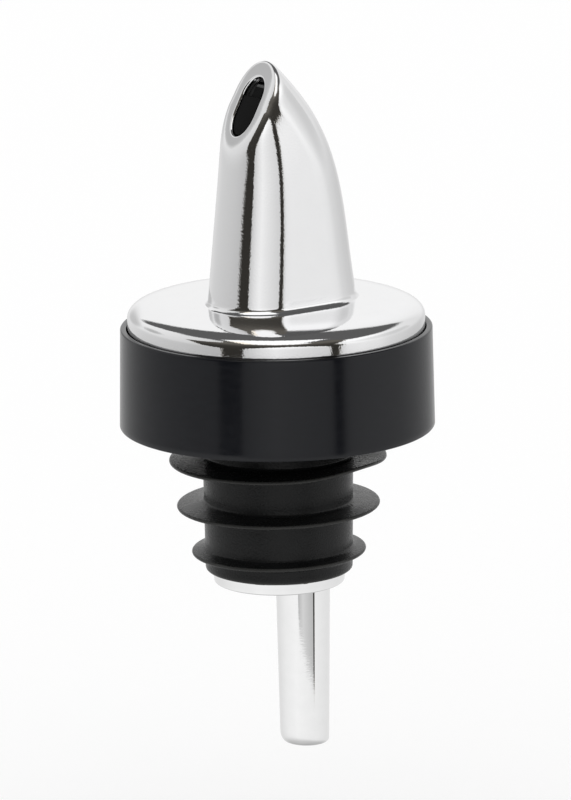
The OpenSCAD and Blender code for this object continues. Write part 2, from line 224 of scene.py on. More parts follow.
class GateSizes(PropertyGroup):
    """Sizes of the gate in the mouth, measured in the mouth's plane."""

    gap: mm("Gap", 0.15, "Gap between the leaf's edge and the mouth")
    thick: mm("Leaf", 0.6, "Thickness of the leaf")
    back: mm("Leaf depth", 0.8, "Depth of the leaf's back below the face")
    leaf_top: mm("Leaf top", 6.45, "Distance of the leaf's top from the face's lower edge")
    pin_at: mm("Pin", 7.75, "Distance of the pin from the face's lower edge")
    pin_depth: mm("Pin depth", 1.3, "Depth of the pin below the face")
    barrel: mm("Barrel", 0.6, "Outside radius of the hinge barrel")
    barrel_bore: mm("Barrel bore", 0.34, "Inside radius of the hinge barrel")
    barrel_wide: mm("Barrel width", 1.7, "Width of the hinge barrel")
    neck_thick: mm("Neck", 0.4, "Thickness of the neck between the leaf and the barrel")
    neck_back: mm("Neck depth", 1.0, "Depth of the neck's back below the face")
    edge: mm("Edge", 0.1, "Rounding of the gate's edges")


class Finishes(PropertyGroup):
    """Colours of the finishes."""

    chrome: colour("Chrome", (0.9, 0.9, 0.905), "Bright plating of the spout and cap")
    tumbled: colour("Tumbled chrome", (0.9, 0.9, 0.9), "Softer plating of the disc and breather tube")
    collar: colour("Collar", (0.004, 0.0045, 0.0065), "Glossy black plastic")
    rubber: colour("Rubber", (0.0085, 0.0088, 0.009), "Matte black rubber")
    # Painted highlight: a lighter rubber colour for the fins' rims, standing in for the light they catch
    rim_highlight: colour("Rubber rim highlight", (0.025, 0.025, 0.024), "Rubber on the fins' rims")
    gate: colour("Gate", (0.003, 0.003, 0.003), "Black of the gate and the liner")
    steel: colour("Steel", (0.6, 0.6, 0.61), "Drawn steel of the pin and the air duct")
    floor: colour("Floor", (0.995, 0.995, 0.995), "Plain floor")


class StageSizes(PropertyGroup):
    """Camera and floor."""

    azimuth: angle("Azimuth", 55, "Direction of the camera, from the mouth's side towards +X")
    elevation: angle("Elevation", 13.6, "Height of the camera above the horizontal")
    roll: angle("Roll", 0.7, "Lean of the object to the left in the picture")
    distance: length("Distance", 0.8, "Distance of the camera from the stopper axis")
    aim_z: mm("Aim height", -4.07, "Height that the camera looks at")
    aim_right: mm("Aim offset", 0.92, "Distance of the aim to the right of the axis")
    lens: FloatProperty(
        name="Lens", description="Focal length on a 36 mm sensor", default=324.5, unit="CAMERA"
    )
    floor_z: mm("Floor", -60.0, "Height of the floor")
    floor_half: length("Floor half width", 6.0, "Half the width of the floor")


SETTINGS = {
    "pourer_spout": SpoutSizes,
    "pourer_cap": CapSizes,
    "pourer_collar": CollarSizes,
    "pourer_stopper": StopperSizes,
    "pourer_stem": StemSizes,
    "pourer_gate": GateSizes,
    "pourer_finishes": Finishes,
    "pourer_stage": StageSizes,
}


# The room that the plating mirrors, in degrees; azimuth runs from the mouth's side towards +X

# Light of the walls round the room, and how it changes with elevation
WALL_LIGHT = (
    (-180, 0.68), (-160, 0.66), (-145, 0.76), (-130, 0.8), (-115, 0.78), (-95, 0.78), (-70, 0.7),
    (-20, 0.6), (8, 0.52), (32, 0.62), (42, 0.8), (54, 0.94), (66, 0.86), (80, 0.78), (104, 0.66),
    (112, 0.88), (124, 0.92), (140, 0.88), (155, 0.76), (180, 0.68),
)
RISE_LIGHT = ((-90, 0.78), (-15, 0.78), (-12, 0.95), (-4, 1.0), (6, 1.2), (30, 1.25), (90, 1.2))
# Where the pale floor ends by azimuth and how softly, and its light by azimuth and by elevation
FLOOR_EDGE = (
    (-180, -14.5), (30, -14.5), (33, -17.2), (40, -17.35), (55, -17.5), (70, -17.6), (105, -17.6),
    (107, -14.5), (180, -14.5),
)
FLOOR_SOFT = 0.15
FLOOR_LIGHT = ((-180, 0.85), (-80, 0.82), (-30, 0.95), (20, 1.02), (110, 0.94), (180, 0.85))
FLOOR_FALL = ((-90, 0.5), (-50, 0.65), (-30, 0.95), (-15, 1.0))
# Where the grey ceiling begins by azimuth and how softly, and its light
CEILING_EDGE = (
    (-180, 35), (-160, 33), (-148, 42), (-120, 44), (-108, 32), (-100, 24), (-92, 27), (-84, 38),
    (-72, 48), (-30, 58), (0, 55), (90, 48), (112, 38), (180, 35),
)
CEILING_SOFT = 7.0
CEILING_LIGHT = 0.11
# Greyer spots of the walls: their places, half sizes and light
GREY_SPOTS = ((-61, 19, 17, 11, 0.6), (-95, 10, 24, 15, 0.62), (150, 12, 45, 15, 0.75))
# The dark side of the room: its edges to the left and right by elevation, and below and above by azimuth
DARK_LEFT = (
    (-30, 13), (-4, 12), (-1, 4), (2, -2), (10, -8), (20, -14), (30, -26), (38, -8), (45, 4), (60, -8),
    (75, -12),
)
DARK_RIGHT = (
    (-30, 105), (-4, 105), (-1, 108), (3, 106), (10, 102), (16, 103), (25, 108), (32, 115), (75, 120),
)
DARK_LOW = (
    (-40, -22), (28, -22), (31, -1), (40, 5), (52, 12), (65, 15), (80, 11), (90, 4), (96, -2), (99, -22),
    (125, -22),
)
DARK_HIGH = ((-40, 60), (14, 62), (30, 50), (36, 40), (60, 38), (84, 40), (90, 52), (125, 52))
# How soft its edges are at the sides, below and above, its light by elevation, and its tint
DARK_SOFT_SIDE = 3.0
DARK_SOFT_LOW = 2.5
DARK_SOFT_HIGH = 5.0
DARK_LIGHT = ((-30, 0.025), (15, 0.04), (25, 0.06), (40, 0.13), (75, 0.1))
DARK_TINT = (1.0, 0.93, 0.82)
# The panel overhead, in its own plane at unit height; only ways that climb steeply reach it
PANEL_AZIMUTH = 50
PANEL_ALONG = (0.1, 1.03)
PANEL_ACROSS = (-0.45, 0.45)
PANEL_SOFT = 0.06
PANEL_CLIMB = (0.5, 0.1)
PANEL_LIGHT = 1.15
# Light on matte surfaces and behind the object
WHITE = (1.0, 1.0, 1.0)


# Outlines and meshes


def between(a, b, share):
    """Number at a share of the way from a to b."""
    return a + (b - a) * share


def lerp(a, b, share):
    """Point at a share of the way from a to b."""
    return tuple(between(p, q, share) for p, q in zip(a, b))


def bezier(points, share):
    """Point on the Bezier curve of some control points."""
    while len(points) > 1:
        points = [lerp(a, b, share) for a, b in zip(points, points[1:])]
    return points[0]


def curve(points, steps):
    """Points along a Bezier curve, both ends included."""
    return [bezier(points, i / steps) for i in range(steps + 1)]


def arc(centre, radius, start, end, steps=EDGE_STEPS):
    """Points on an arc, with its angles in degrees."""
    turns = [math.radians(between(start, end, i / steps)) for i in range(steps + 1)]
    return [(centre[0] + radius * math.cos(a), centre[1] + radius * math.sin(a)) for a in turns]


def refined(outline):
    """Closed outline with its long stretches split, so that shading stays even along them."""
    points = []
    for a, b in zip(outline, outline[1:] + outline[:1]):
        parts = max(1, math.ceil(math.dist(a, b) / FACE_STEP))
        points += [lerp(a, b, i / parts) for i in range(parts)]
    return points


def turned(outline):
    """Rings of a closed outline of (radius, height) turned round the upright axis."""
    return [[(r * math.cos(a), r * math.sin(a), z) for a in TURNS] for r, z in refined(outline)]


def oval_pattern():
    """Round-ended outline as shares: across and along in half widths, and along in straight halves."""
    shares = []
    for side in (1, -1):
        shares += [(side, 0.0, side * (2 * i / SIDE_STEPS - 1)) for i in range(SIDE_STEPS)]
        turns = [math.pi * i / END_STEPS for i in range(END_STEPS)]
        shares += [(side * math.cos(a), side * math.sin(a), side) for a in turns]
    return shares


OVAL = oval_pattern()


def oval_point(share, half_long, half_wide, nose, tail):
    """Point of an oval as (across, along), with the lengths of its round lower and upper ends."""
    across, bulge, straight = share
    end = nose if bulge < 0 else tail
    half_straight = half_long - (nose + tail) / 2
    return half_wide * across, end * bulge + (nose - tail) / 2 + half_straight * straight


def oval(half_long, half_wide, nose, tail):
    """Round-ended outline of (across, along) points."""
    return [oval_point(share, half_long, half_wide, nose, tail) for share in OVAL]


def ring_mesh(name, rings):
    """Mesh of quads between neighbouring rings, closed both ways."""
    count = len(rings[0])
    faces = []
    for j in range(len(rings)):
        low, high = j * count, (j + 1) % len(rings) * count
        for i in range(count):
            following = (i + 1) % count
            faces.append((low + i, low + following, high + following, high + i))
    mesh = bpy.data.meshes.new(name)
    mesh.from_pydata([p for ring in rings for p in ring], [], faces)
    return mesh


def plate_mesh(name, outlines, thick, edge, place):
    """Mesh of a flat plate with holes and rounded edges; the first outline is its outer edge."""
    data = bpy.data.curves.new(name, "CURVE")
    data.dimensions = "2D"
    data.fill_mode = "BOTH"
    data.extrude = thick / 2 - edge
    data.bevel_depth = edge
    data.bevel_resolution = EDGE_STEPS // 2
    data.offset = -edge
    for outline in outlines:
        spline = data.splines.new("POLY")
        spline.points.add(len(outline) - 1)
        spline.points.foreach_set("co", [c for x, y in outline for c in (x, y, 0.0, 1.0)])
        spline.use_cyclic_u = True
    carrier = bpy.data.objects.new(name, data)
    mesh = bpy.data.meshes.new_from_object(carrier)
    mesh.transform(place)
    bpy.data.objects.remove(carrier)
    bpy.data.curves.remove(data)
    return mesh


def joined(name, parts):
    """One mesh from several; a face keeps the number of its part as its material."""
    whole = bmesh.new()
    for number, part in enumerate(parts):
        done = len(whole.faces)
        whole.from_mesh(part)
        whole.faces.ensure_lookup_table()
        for face in whole.faces[done:]:
            face.material_index = number
        bpy.data.meshes.remove(part)
    mesh = bpy.data.meshes.new(name)
    whole.to_mesh(mesh)
    whole.free()
    return mesh


def add_piece(mesh, node, body, materials):
    """Object for a mesh that stands for a CAD node and rides on its body."""
    tidy = bmesh.new()
    tidy.from_mesh(mesh)
    bmesh.ops.remove_doubles(tidy, verts=tidy.verts, dist=WELD)
    bmesh.ops.recalc_face_normals(tidy, faces=tidy.faces)
    tidy.to_mesh(mesh)
    tidy.free()
    mesh.shade_smooth()
    mesh.set_sharp_from_angle(angle=SHARP_ANGLE)
    for material in materials:
        mesh.materials.append(material)
    piece = bpy.data.objects.new(mesh.name, mesh)
    bpy.context.scene.collection.objects.link(piece)
    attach(piece, body)
    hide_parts(node)


# Control point of the spout's front line, as a share of its height, and control points of its rear line,
# as shares of its reach and height
FRONT_BEND = 0.48
REAR_BENDS = ((0.8, 0.326), (0.965, 0.691))
# How quickly the sides draw in towards the face, and how quickly the inside sinks below it
PINCH_POWER = 5
SINK_POWER = 3
# Shares of the way from the flare to the face's roll at which the skin has control rings
SKIN_SHARES = (0.0, 0.14, 0.28, 0.42, 0.56, 0.7, 0.85, 1.0)
# Share of the way up from which the skin's length at the face is measured
NEAR_FACE = 0.98
# How crisp the face's edge is at its sides, its tip and its lower end; below 0 it is softer
CRISP_SIDE = -0.55
CRISP_TIP = 0.4
CRISP_LOW = -0.1
# Rings in the flare, between two control rings and down the inside
FLARE_RINGS = 5
SKIN_RINGS = 9
INSIDE_RINGS = 24


class SpoutShape:
    """Lines and rings of the spout; heights are above its foot."""

    def __init__(self, sizes):
        self.sizes = sizes
        rear = sizes.long - sizes.front
        face_rise = sizes.rise - sizes.face_drop
        middle = -sizes.bow - (sizes.front + sizes.face_front) / 2
        self.face_low = (-sizes.face_front, face_rise)
        self.tip = (-sizes.tip_front, sizes.rise)
        self.front = [(-sizes.front, 0.0), (middle, FRONT_BEND * face_rise), self.face_low]
        bends = [(reach * rear, height * sizes.rise) for reach, height in REAR_BENDS]
        self.rear = [(rear, 0.0), *bends, self.tip]
        slope = Vector(self.tip) - Vector(self.face_low)
        self.tilt = math.atan2(slope.y, slope.x)

    def on_plane(self, low, high, place, middle, sink):
        """Point at a place across and along the line from low to high, sunk below its plane."""
        along = (Vector(high) - Vector(low)).normalized()
        inward = Vector((along.y, -along.x))
        at = Vector(low) + along * (middle + place[1]) + inward * sink
        return (place[0], at.x, self.sizes.foot_z + at.y)

    def skin(self, share, number, inset=0.0, sink=0.0):
        """Point of the skin at a share of the way from the foot to the slanted face."""
        low, high = bezier(self.front, share), bezier(self.rear, share)
        half_long = math.dist(low, high) / 2
        pinch = self.sizes.pinch * share**PINCH_POWER
        tail = self.sizes.wide / 2 - self.sizes.taper * share - pinch / 2 - inset
        nose = self.sizes.nose - pinch / 2 - inset
        place = oval_point(OVAL[number], half_long - inset, tail - pinch / 2, nose, tail)
        return self.on_plane(low, high, place, half_long, sink * share**SINK_POWER)

    def section(self, share, inset=0.0, sink=0.0):
        """Ring of the skin at a share of the way from the foot to the slanted face."""
        return [self.skin(share, number, inset, sink) for number in range(len(OVAL))]

    def mouth(self, inset, sink):
        """Ring round the mouth, inset from it and sunk below the face."""
        sizes = self.sizes
        middle = sizes.mouth_from + sizes.mouth_long / 2
        ends = sizes.mouth_nose - inset, sizes.mouth_tail - inset
        places = oval(sizes.mouth_long / 2 - inset, sizes.mouth_wide / 2 - inset, *ends)
        return [self.on_plane(self.face_low, self.tip, place, middle, sink) for place in places]

    def foot(self, inset, height=0.0):
        """Level ring of the foot's outline."""
        return [(x, y, z + height) for x, y, z in self.section(0.0, inset)]

    def mouth_plane(self):
        """Matrix from the mouth's plane, with Y up the slope and Z out of the mouth."""
        low = Matrix.Translation((0.0, self.face_low[0], self.sizes.foot_z + self.face_low[1]))
        return low @ Matrix.Rotation(self.tilt, 4, "X")


def spline_rings(controls, steps):
    """Rings on a smooth cubic spline that starts and ends on its first and last control ring."""

    def beyond(end, inner):
        return [tuple(2 * p - q for p, q in zip(a, b)) for a, b in zip(end, inner)]

    rows = [beyond(controls[0], controls[1]), *controls, beyond(controls[-1], controls[-2])]
    rings = []
    for first in range(len(rows) - 3):
        for i in range(steps):
            t = i / steps
            weights = ((1 - t) ** 3, 3 * t**3 - 6 * t**2 + 4, 3 * t + 3 * t**2 - 3 * t**3 + 1, t**3)
            ring = []
            for points in zip(*rows[first : first + 4]):
                axes = zip(*points)
                ring.append(tuple(sum(w * p for w, p in zip(weights, axis)) / 6 for axis in axes))
            rings.append(ring)
    return rings + [controls[-1]]


def spout_rings(sizes):
    """Rings of the spout from its spigot over the outer skin into the mouth and back inside."""
    shape = SpoutShape(sizes)
    flare_share = sizes.flare_rise / sizes.rise
    rings = [shape.foot(sizes.foot_step, -sizes.spigot), shape.foot(sizes.foot_step)]
    for i in range(FLARE_RINGS):
        left = 1 - i / FLARE_RINGS
        rings.append(shape.section(flare_share * (1 - left), -sizes.flare * left**2))

    # Control rings: up the skin, past the face's edge and over the face to the mouth's rim
    edge, near, rim = shape.section(1.0), shape.section(NEAR_FACE), shape.mouth(-sizes.mouth_round, 0.0)
    starts, ends, corners = [], [], []
    for number, (_, bulge, _) in enumerate(OVAL):
        corner, inner = edge[number], rim[number]
        at_end = bulge**2
        tip = bulge > 0
        roll = between(sizes.roll_side, sizes.roll_tip if tip else sizes.roll_low, at_end)
        lap = between(sizes.lap_side, sizes.lap_tip if tip else sizes.lap_low, at_end)
        crisp = between(CRISP_SIDE, CRISP_TIP if tip else CRISP_LOW, at_end)
        speed = math.dist(corner, near[number]) / (1 - NEAR_FACE)
        start = 1 - roll / speed
        end = lerp(corner, inner, lap / math.dist(corner, inner))
        before = shape.skin(start, number)
        corners.append(tuple(c + crisp * (2 * c - p - q) / 4 for p, c, q in zip(before, corner, end)))
        starts.append(start)
        ends.append(end)
    controls = []
    for share in SKIN_SHARES:
        heights = [between(flare_share, start, share) for start in starts]
        controls.append([shape.skin(height, number) for number, height in enumerate(heights)])
    controls += [corners, ends, rim]
    rings += spline_rings(controls, SKIN_RINGS)
    for out, depth in arc((-sizes.mouth_round, -sizes.mouth_round), sizes.mouth_round, 90, 0)[1:]:
        rings.append(shape.mouth(out, -depth))
    rings.append(shape.mouth(0.0, sizes.lip))

    for i in range(INSIDE_RINGS + 1):
        share = 1 - i / INSIDE_RINGS
        rings.append(shape.section(share, sizes.wall + sizes.roll_in * share**PINCH_POWER, sizes.lip))
    rings.append(shape.foot(sizes.wall, -sizes.spigot))
    return rings


# Control points of the cap's outline in mm: on the shoulder the distances in from the outside and below
# the top, and on the dome the radius and the distance below the top
SHOULDER_BENDS = ((0.0, 1.85), (0.0, 0.9), (0.83, 0.52), (1.65, 0.32))
DOME_BENDS = ((13.7, 0.04), (12.4, 0.0))
# Faces up the shoulder and over the dome, and shares of the way over the flat middle that have rings
SHOULDER_STEPS = 14
DOME_STEPS = 10
FLAT_SHARES = (0.35, 0.7, 1.0)
# Gap between the cap's hole and the spout's spigot
SPIGOT_FIT = 0.05 * MM


def cap_rings(sizes, spout):
    """Rings of the cap from its lower edge over the dome to the spout's hole and back below."""
    hole = SpoutShape(spout).foot(spout.foot_step - SPIGOT_FIT)
    headings = [Vector((x, y)).normalized() for x, y, _ in hole]
    top, edge = sizes.top_z, sizes.edge
    outer, inner = sizes.radius, sizes.radius - sizes.wall
    shoulder = [(outer - inset * MM, top - drop * MM) for inset, drop in SHOULDER_BENDS]
    dome = [(reach * MM, top - drop * MM) for reach, drop in DOME_BENDS]
    outline = [(inner, sizes.low_z)]
    outline += arc((outer - edge, sizes.low_z + edge), edge, -90, 0)
    outline += curve(shoulder, SHOULDER_STEPS)
    outline += curve([shoulder[-1], *dome, (sizes.flat, top)], DOME_STEPS)[1:]
    rings = [[(r * h.x, r * h.y, z) for h in headings] for r, z in outline]
    flat = [(sizes.flat * h.x, sizes.flat * h.y, top) for h in headings]
    for share in FLAT_SHARES:
        rings.append([lerp(p, q, share) for p, q in zip(flat, hole)])
    roof = top - sizes.wall
    rings.append([(x, y, roof) for x, y, _ in hole])
    rings.append([(inner * h.x, inner * h.y, roof) for h in headings])
    return rings


def collar_outline(sizes):
    """Outline of the collar, from its lower edge up the outside and back inside."""
    foot, edge = sizes.foot_edge, sizes.rim_edge
    outer, top = sizes.radius, sizes.radius - sizes.draft
    inner, rim = outer - sizes.wall, top - sizes.rim_wall
    points = arc((inner + edge, sizes.low_z + edge), edge, 180, 270)
    points += arc((outer - foot, sizes.low_z + foot), foot, 270, 360)
    points += arc((top - edge, sizes.rim_z - edge), edge, 0, 90)
    points += arc((rim + edge, sizes.rim_z - edge), edge, 90, 180)
    points += [(rim, sizes.deck_z), (sizes.hole, sizes.deck_z)]
    return points + [(sizes.hole, sizes.shelf_z), (inner, sizes.shelf_z)]


def stopper_outline(sizes):
    """Outline of the sleeve with its fins, from its lower end up the outside and back down the bore."""

    def sleeve(z):
        return between(sizes.radius, sizes.low_radius, z / sizes.low_z)

    edge, fillet, tip = sizes.edge, sizes.fillet, sizes.fin_rim / 2
    points = [(sizes.bore, sizes.low_z)]
    points += arc((sizes.low_radius - edge, sizes.low_z + edge), edge, -90, 0)
    fins = [sizes.fin_upper, sizes.fin_middle, sizes.fin_lower]
    for number in reversed(range(len(fins))):
        z = -sizes.fin_first - number * sizes.fin_pitch
        reach, root = fins[number], sizes.fin_root / 2
        for side in (-1, 1):
            on_sleeve = (sleeve(z), z + side * (root + fillet))
            corner = (sleeve(z), z + side * root)
            on_fin = lerp(corner, (reach - tip, z + side * tip), 2 * fillet / (reach - sleeve(z)))
            bend = curve([on_sleeve, corner, on_fin], EDGE_STEPS)
            if side < 0:
                points += bend + arc((reach - tip, z), tip, -90, 90, 2 * EDGE_STEPS)
            else:
                points += bend[::-1]
    points += [(sizes.radius, 0.0), (sizes.flange, 0.0)]
    return points + [(sizes.flange, sizes.flange_z), (sizes.bore, sizes.flange_z)]


# How quickly the fins' lean sets in beyond the sleeve, and the upper fin's curl grows towards its rim
LEAN_RATE = 4
CURL_POWER = 1.5


def stopper_rings(sizes):
    """Rings of the stopper, with leaning fins and one side of the upper fin curled up."""
    fin_z = -sizes.fin_first
    rings = []
    for ring in turned(stopper_outline(sizes)):
        bent = []
        for x, y, z in ring:
            reach, heading = math.hypot(x, y), math.atan2(x, -y)
            out = max(0.0, (reach - sizes.radius) / (sizes.fin_upper - sizes.radius))
            on_upper = abs(z - fin_z) < sizes.fin_root
            if z < 0:
                slope = math.tan(sizes.lean) * math.cos(heading - sizes.lean_at)
                z -= min(1.0, LEAN_RATE * out) * reach * slope
            if on_upper:
                off = math.remainder(heading - sizes.curl_at, 2 * math.pi) / sizes.curl_spread
                z += sizes.curl * out**CURL_POWER * math.exp(-(off**2))
            bent.append((x, y, z))
        rings.append(bent)
    return rings


def circle(radius, y=0.0):
    """Outline of a circle in a plate."""
    return [(radius * math.cos(a), y + radius * math.sin(a)) for a in TURNS]


# Distance from the disc's corners, in roundings, of the points that keep its wall's shading even
RIM_SUPPORT = 1.5


def rim_outline(sizes):
    """Outline of the disc's rim."""
    reach, edge = sizes.disc, sizes.disc_edge
    inner, low, high = sizes.disc_inner, sizes.disc_z, sizes.disc_z + sizes.disc_thick
    foot = reach - sizes.disc_draft
    points = [(inner, low)]
    points += arc((foot - edge, low + edge), edge, -90, 0)
    points += [(foot, low + RIM_SUPPORT * edge), (reach, high - RIM_SUPPORT * edge)]
    points += arc((reach - edge, high - edge), edge, 0, 90)
    return points + [(inner, high)]


def disc_mesh(name, sizes):
    """Disc at the stem's foot with the liquor port and the air duct's hole."""
    half_port = math.degrees(math.acos(-sizes.port_y / sizes.bore))
    port = arc((0.0, 0.0), sizes.bore, -90 - half_port, -90 + half_port, TURN_STEPS // 2)
    lap = 2 * sizes.disc_edge
    outlines = [circle(sizes.disc_inner + lap), port, circle(sizes.tube_bore, sizes.tube_y)]
    place = Matrix.Translation((0.0, 0.0, sizes.disc_z + sizes.disc_thick / 2))
    plate = plate_mesh(name + "_plate", outlines, sizes.disc_thick, sizes.disc_edge, place)
    return joined(name, [plate, ring_mesh(name + "_rim", turned(rim_outline(sizes)))])


def stem_outline(sizes):
    """Outline of the stem's tube."""
    low = sizes.disc_z + sizes.disc_thick
    outside = [(sizes.radius, low), (sizes.radius, sizes.top_z)]
    return [(sizes.bore, low), *outside, (sizes.bore, sizes.top_z)]


def tube_rings(sizes):
    """Rings of the breather tube, whose slanted end is rounder on its shorter side."""
    top, reach = sizes.disc_z, sizes.tube_tip
    rounding = arc((0.0, 0.0), 1.0, 0, -90)[1:]
    columns = []
    for turn in TURNS:
        short = (1 - math.sin(turn)) / 2
        low = sizes.tube_z + 2 * reach * short * math.tan(sizes.tube_slant)
        wide = between(sizes.tube_edge, sizes.tube_round, short)
        tall = between(sizes.tube_edge, 2 * sizes.tube_round, short)
        outline = [(sizes.tube_bore, top)]
        outline += curve([(sizes.tube_top, top), (reach, low + tall)], WALL_STEPS)
        outline += [(reach - wide + wide * x, low + tall + tall * z) for x, z in rounding]
        outline += [(sizes.tube_bore, low)]
        columns.append([(r * math.cos(turn), sizes.tube_y + r * math.sin(turn), z) for r, z in outline])
    return [list(ring) for ring in zip(*columns)]


# How far the gate's neck reaches into its leaf
NECK_OVERLAP = 0.2 * MM


def gate_mesh(name, sizes, spout):
    """Leaf, neck and hinge barrel of the gate, lying in the mouth."""
    plane = SpoutShape(spout).mouth_plane()
    middle = spout.mouth_from + spout.mouth_long / 2
    half_long, half_wide = spout.mouth_long / 2 - sizes.gap, spout.mouth_wide / 2 - sizes.gap
    outline = oval(half_long, half_wide, spout.mouth_nose - sizes.gap, spout.mouth_tail - sizes.gap)
    leaf = [(x, min(middle + y, sizes.leaf_top)) for x, y in outline]
    leaf_place = plane @ Matrix.Translation((0.0, 0.0, sizes.thick / 2 - sizes.back))
    half = sizes.barrel_wide / 2
    neck_low = sizes.leaf_top - NECK_OVERLAP
    neck = [(-half, neck_low), (half, neck_low), (half, sizes.pin_at), (-half, sizes.pin_at)]
    neck_place = plane @ Matrix.Translation((0.0, 0.0, sizes.neck_thick / 2 - sizes.neck_back))
    edge = sizes.edge
    tube = arc((sizes.barrel - edge, -half + edge), edge, -90, 0)
    tube += arc((sizes.barrel - edge, half - edge), edge, 0, 90)
    tube += [(sizes.barrel_bore, half), (sizes.barrel_bore, -half)]
    barrel = ring_mesh(name + "_barrel", turned(tube))
    at_pin = Matrix.Translation((0.0, sizes.pin_at, -sizes.pin_depth))
    barrel.transform(plane @ at_pin @ Matrix.Rotation(math.pi / 2, 4, "Y"))
    parts = [
        plate_mesh(name + "_leaf", [leaf], sizes.thick, edge, leaf_place),
        plate_mesh(name + "_neck", [neck], sizes.neck_thick, edge, neck_place),
        barrel,
    ]
    return joined(name, parts)


# Finishes


def maths(operation):
    """Operator of a signal that adds a Math node, and the operator's reflected form."""

    def forward(self, other):
        return self.math(operation, self, other)

    def reflected(self, other):
        return self.math(operation, other, self)

    return forward, reflected


class Signal:
    """Socket that takes part in Python arithmetic, which adds Math nodes to its tree."""

    def __init__(self, nodes, socket):
        self.nodes = nodes
        self.socket = socket

    def math(self, operation, *values):
        """Output of a Math node."""
        return self.nodes.add("ShaderNodeMath", {"operation": operation}, dict(enumerate(values)))

    __add__, __radd__ = maths("ADD")
    __sub__, __rsub__ = maths("SUBTRACT")
    __mul__, __rmul__ = maths("MULTIPLY")
    __truediv__, __rtruediv__ = maths("DIVIDE")


class Nodes:
    """Node tree of a material or a world, filled one node at a time."""

    def __init__(self, owner):
        owner.use_nodes = True
        self.tree = owner.node_tree
        self.tree.nodes.clear()

    def add(self, kind, settings=None, inputs=None, output=0):
        """Adds a node, sets it, joins or fills its sockets and returns one of its outputs."""
        node = self.tree.nodes.new(kind)
        for name, value in (settings or {}).items():
            if name == "stops":
                self.set_stops(node.color_ramp, value)
            else:
                setattr(node, name, value)
        for key, value in (inputs or {}).items():
            if isinstance(value, Signal):
                self.tree.links.new(value.socket, node.inputs[key])
            else:
                node.inputs[key].default_value = value
        return Signal(self, node.outputs[output]) if node.outputs else None

    @staticmethod
    def set_stops(ramp, stops):
        """Gives a colour ramp its stops of (place, grey), the first at 0 and the last at 1."""
        for place, _ in stops[1:-1]:
            ramp.elements.new(place)
        for element, (_, grey) in zip(ramp.elements, stops):
            element.color = (grey, grey, grey, 1.0)

    def noise(self, size, detail=2.0, stretch=(1.0, 1.0, 1.0)):
        """Noise from 0 to 1 whose grains have about that size in metres."""
        place = self.add("ShaderNodeTexCoord", output="Object")
        place = self.add("ShaderNodeVectorMath", {"operation": "MULTIPLY"}, {0: place, 1: stretch})
        return self.add("ShaderNodeTexNoise", {}, {"Vector": place, "Scale": 1 / size, "Detail": detail})

    def graph(self, value, points):
        """Height read off a line through (place, height) points."""
        places, heights = zip(*points)
        left, span = places[0], places[-1] - places[0]
        low, rise = min(heights), max(heights) - min(heights)
        stops = [((place - left) / span, (height - low) / rise) for place, height in points]
        return self.add("ShaderNodeValToRGB", {"stops": stops}, {0: (value - left) / span}) * rise + low

    def blend(self, share, first, second):
        """Number between two numbers."""
        return self.add("ShaderNodeMix", {}, {"Factor": share, 2: first, 3: second})

    def spot(self, across, up, middle_across, middle_up, half_across, half_up):
        """1 in the middle of a soft oval spot and 0 outside it."""
        u, v = (across - middle_across) / half_across, (up - middle_up) / half_up
        return 1 - self.step(u * u + v * v, 0.5, 1.0)

    def step(self, value, edge, soft):
        """Smooth step from 0 to 1 as the value passes an edge."""
        limits = {"Value": value, "From Min": edge - soft / 2, "From Max": edge + soft / 2}
        return self.add("ShaderNodeMapRange", {"interpolation_type": "SMOOTHSTEP"}, limits)

    def band(self, value, low, high, soft):
        """1 between two edges and 0 outside them."""
        return self.step(value, low, soft) * (1 - self.step(value, high, soft))

    def mix(self, share, first, second):
        """Colour between two colours."""
        inputs = {"Factor": share, 6: first, 7: second}
        return self.add("ShaderNodeMix", {"data_type": "RGBA"}, inputs, output=2)

    def bump(self, height, depth):
        """Normal for a height from 0 to 1 that stands for a depth in metres."""
        return self.add("ShaderNodeBump", {}, {"Height": height, "Distance": depth})

    def surface(self, **inputs):
        """Joins a Principled shader to the material's output; underscores in names stand for spaces."""
        sockets = {name.replace("_", " "): value for name, value in inputs.items()}
        shader = self.add("ShaderNodeBsdfPrincipled", {}, sockets)
        self.add("ShaderNodeOutputMaterial", {}, {"Surface": shader})


def solid(rgb, factor=1.0):
    """Linear colour with its alpha."""
    return (*(c * factor for c in rgb), 1.0)


def new_finish(name):
    """Material with its empty node tree."""
    material = bpy.data.materials.new(name)
    return material, Nodes(material)


def bright_chrome(finishes):
    """Plating over a cast shell: mirror bright, a little wavy, with a haze of fine polishing."""
    material, nodes = new_finish("bright_chrome")
    haze = nodes.noise(2.2 * MM, detail=3.0)
    waves = nodes.noise(1.6 * MM, detail=1.0)
    grain = nodes.noise(0.22 * MM)
    height = waves * 0.15 + grain * 0.85
    nodes.surface(
        Base_Color=nodes.mix(haze, solid(finishes.chrome), solid(finishes.chrome, 0.97)),
        Metallic=1.0,
        Roughness=0.025 + haze * 0.03,
        Normal=nodes.bump(height, 0.006 * MM),
    )
    return material


def tumbled_chrome(finishes):
    """Softer plating of the turned pieces below the stopper."""
    material, nodes = new_finish("tumbled_chrome")
    haze = nodes.noise(1.2 * MM, detail=4.0)
    lines = nodes.noise(0.12 * MM, stretch=(0.2, 0.2, 1.0))
    nodes.surface(
        Base_Color=nodes.mix(haze, solid(finishes.tumbled), solid(finishes.tumbled, 0.94)),
        Metallic=1.0,
        Roughness=0.01 + haze * 0.02,
        Normal=nodes.bump(lines * 0.2 + haze * 0.8, 0.0008 * MM),
    )
    return material


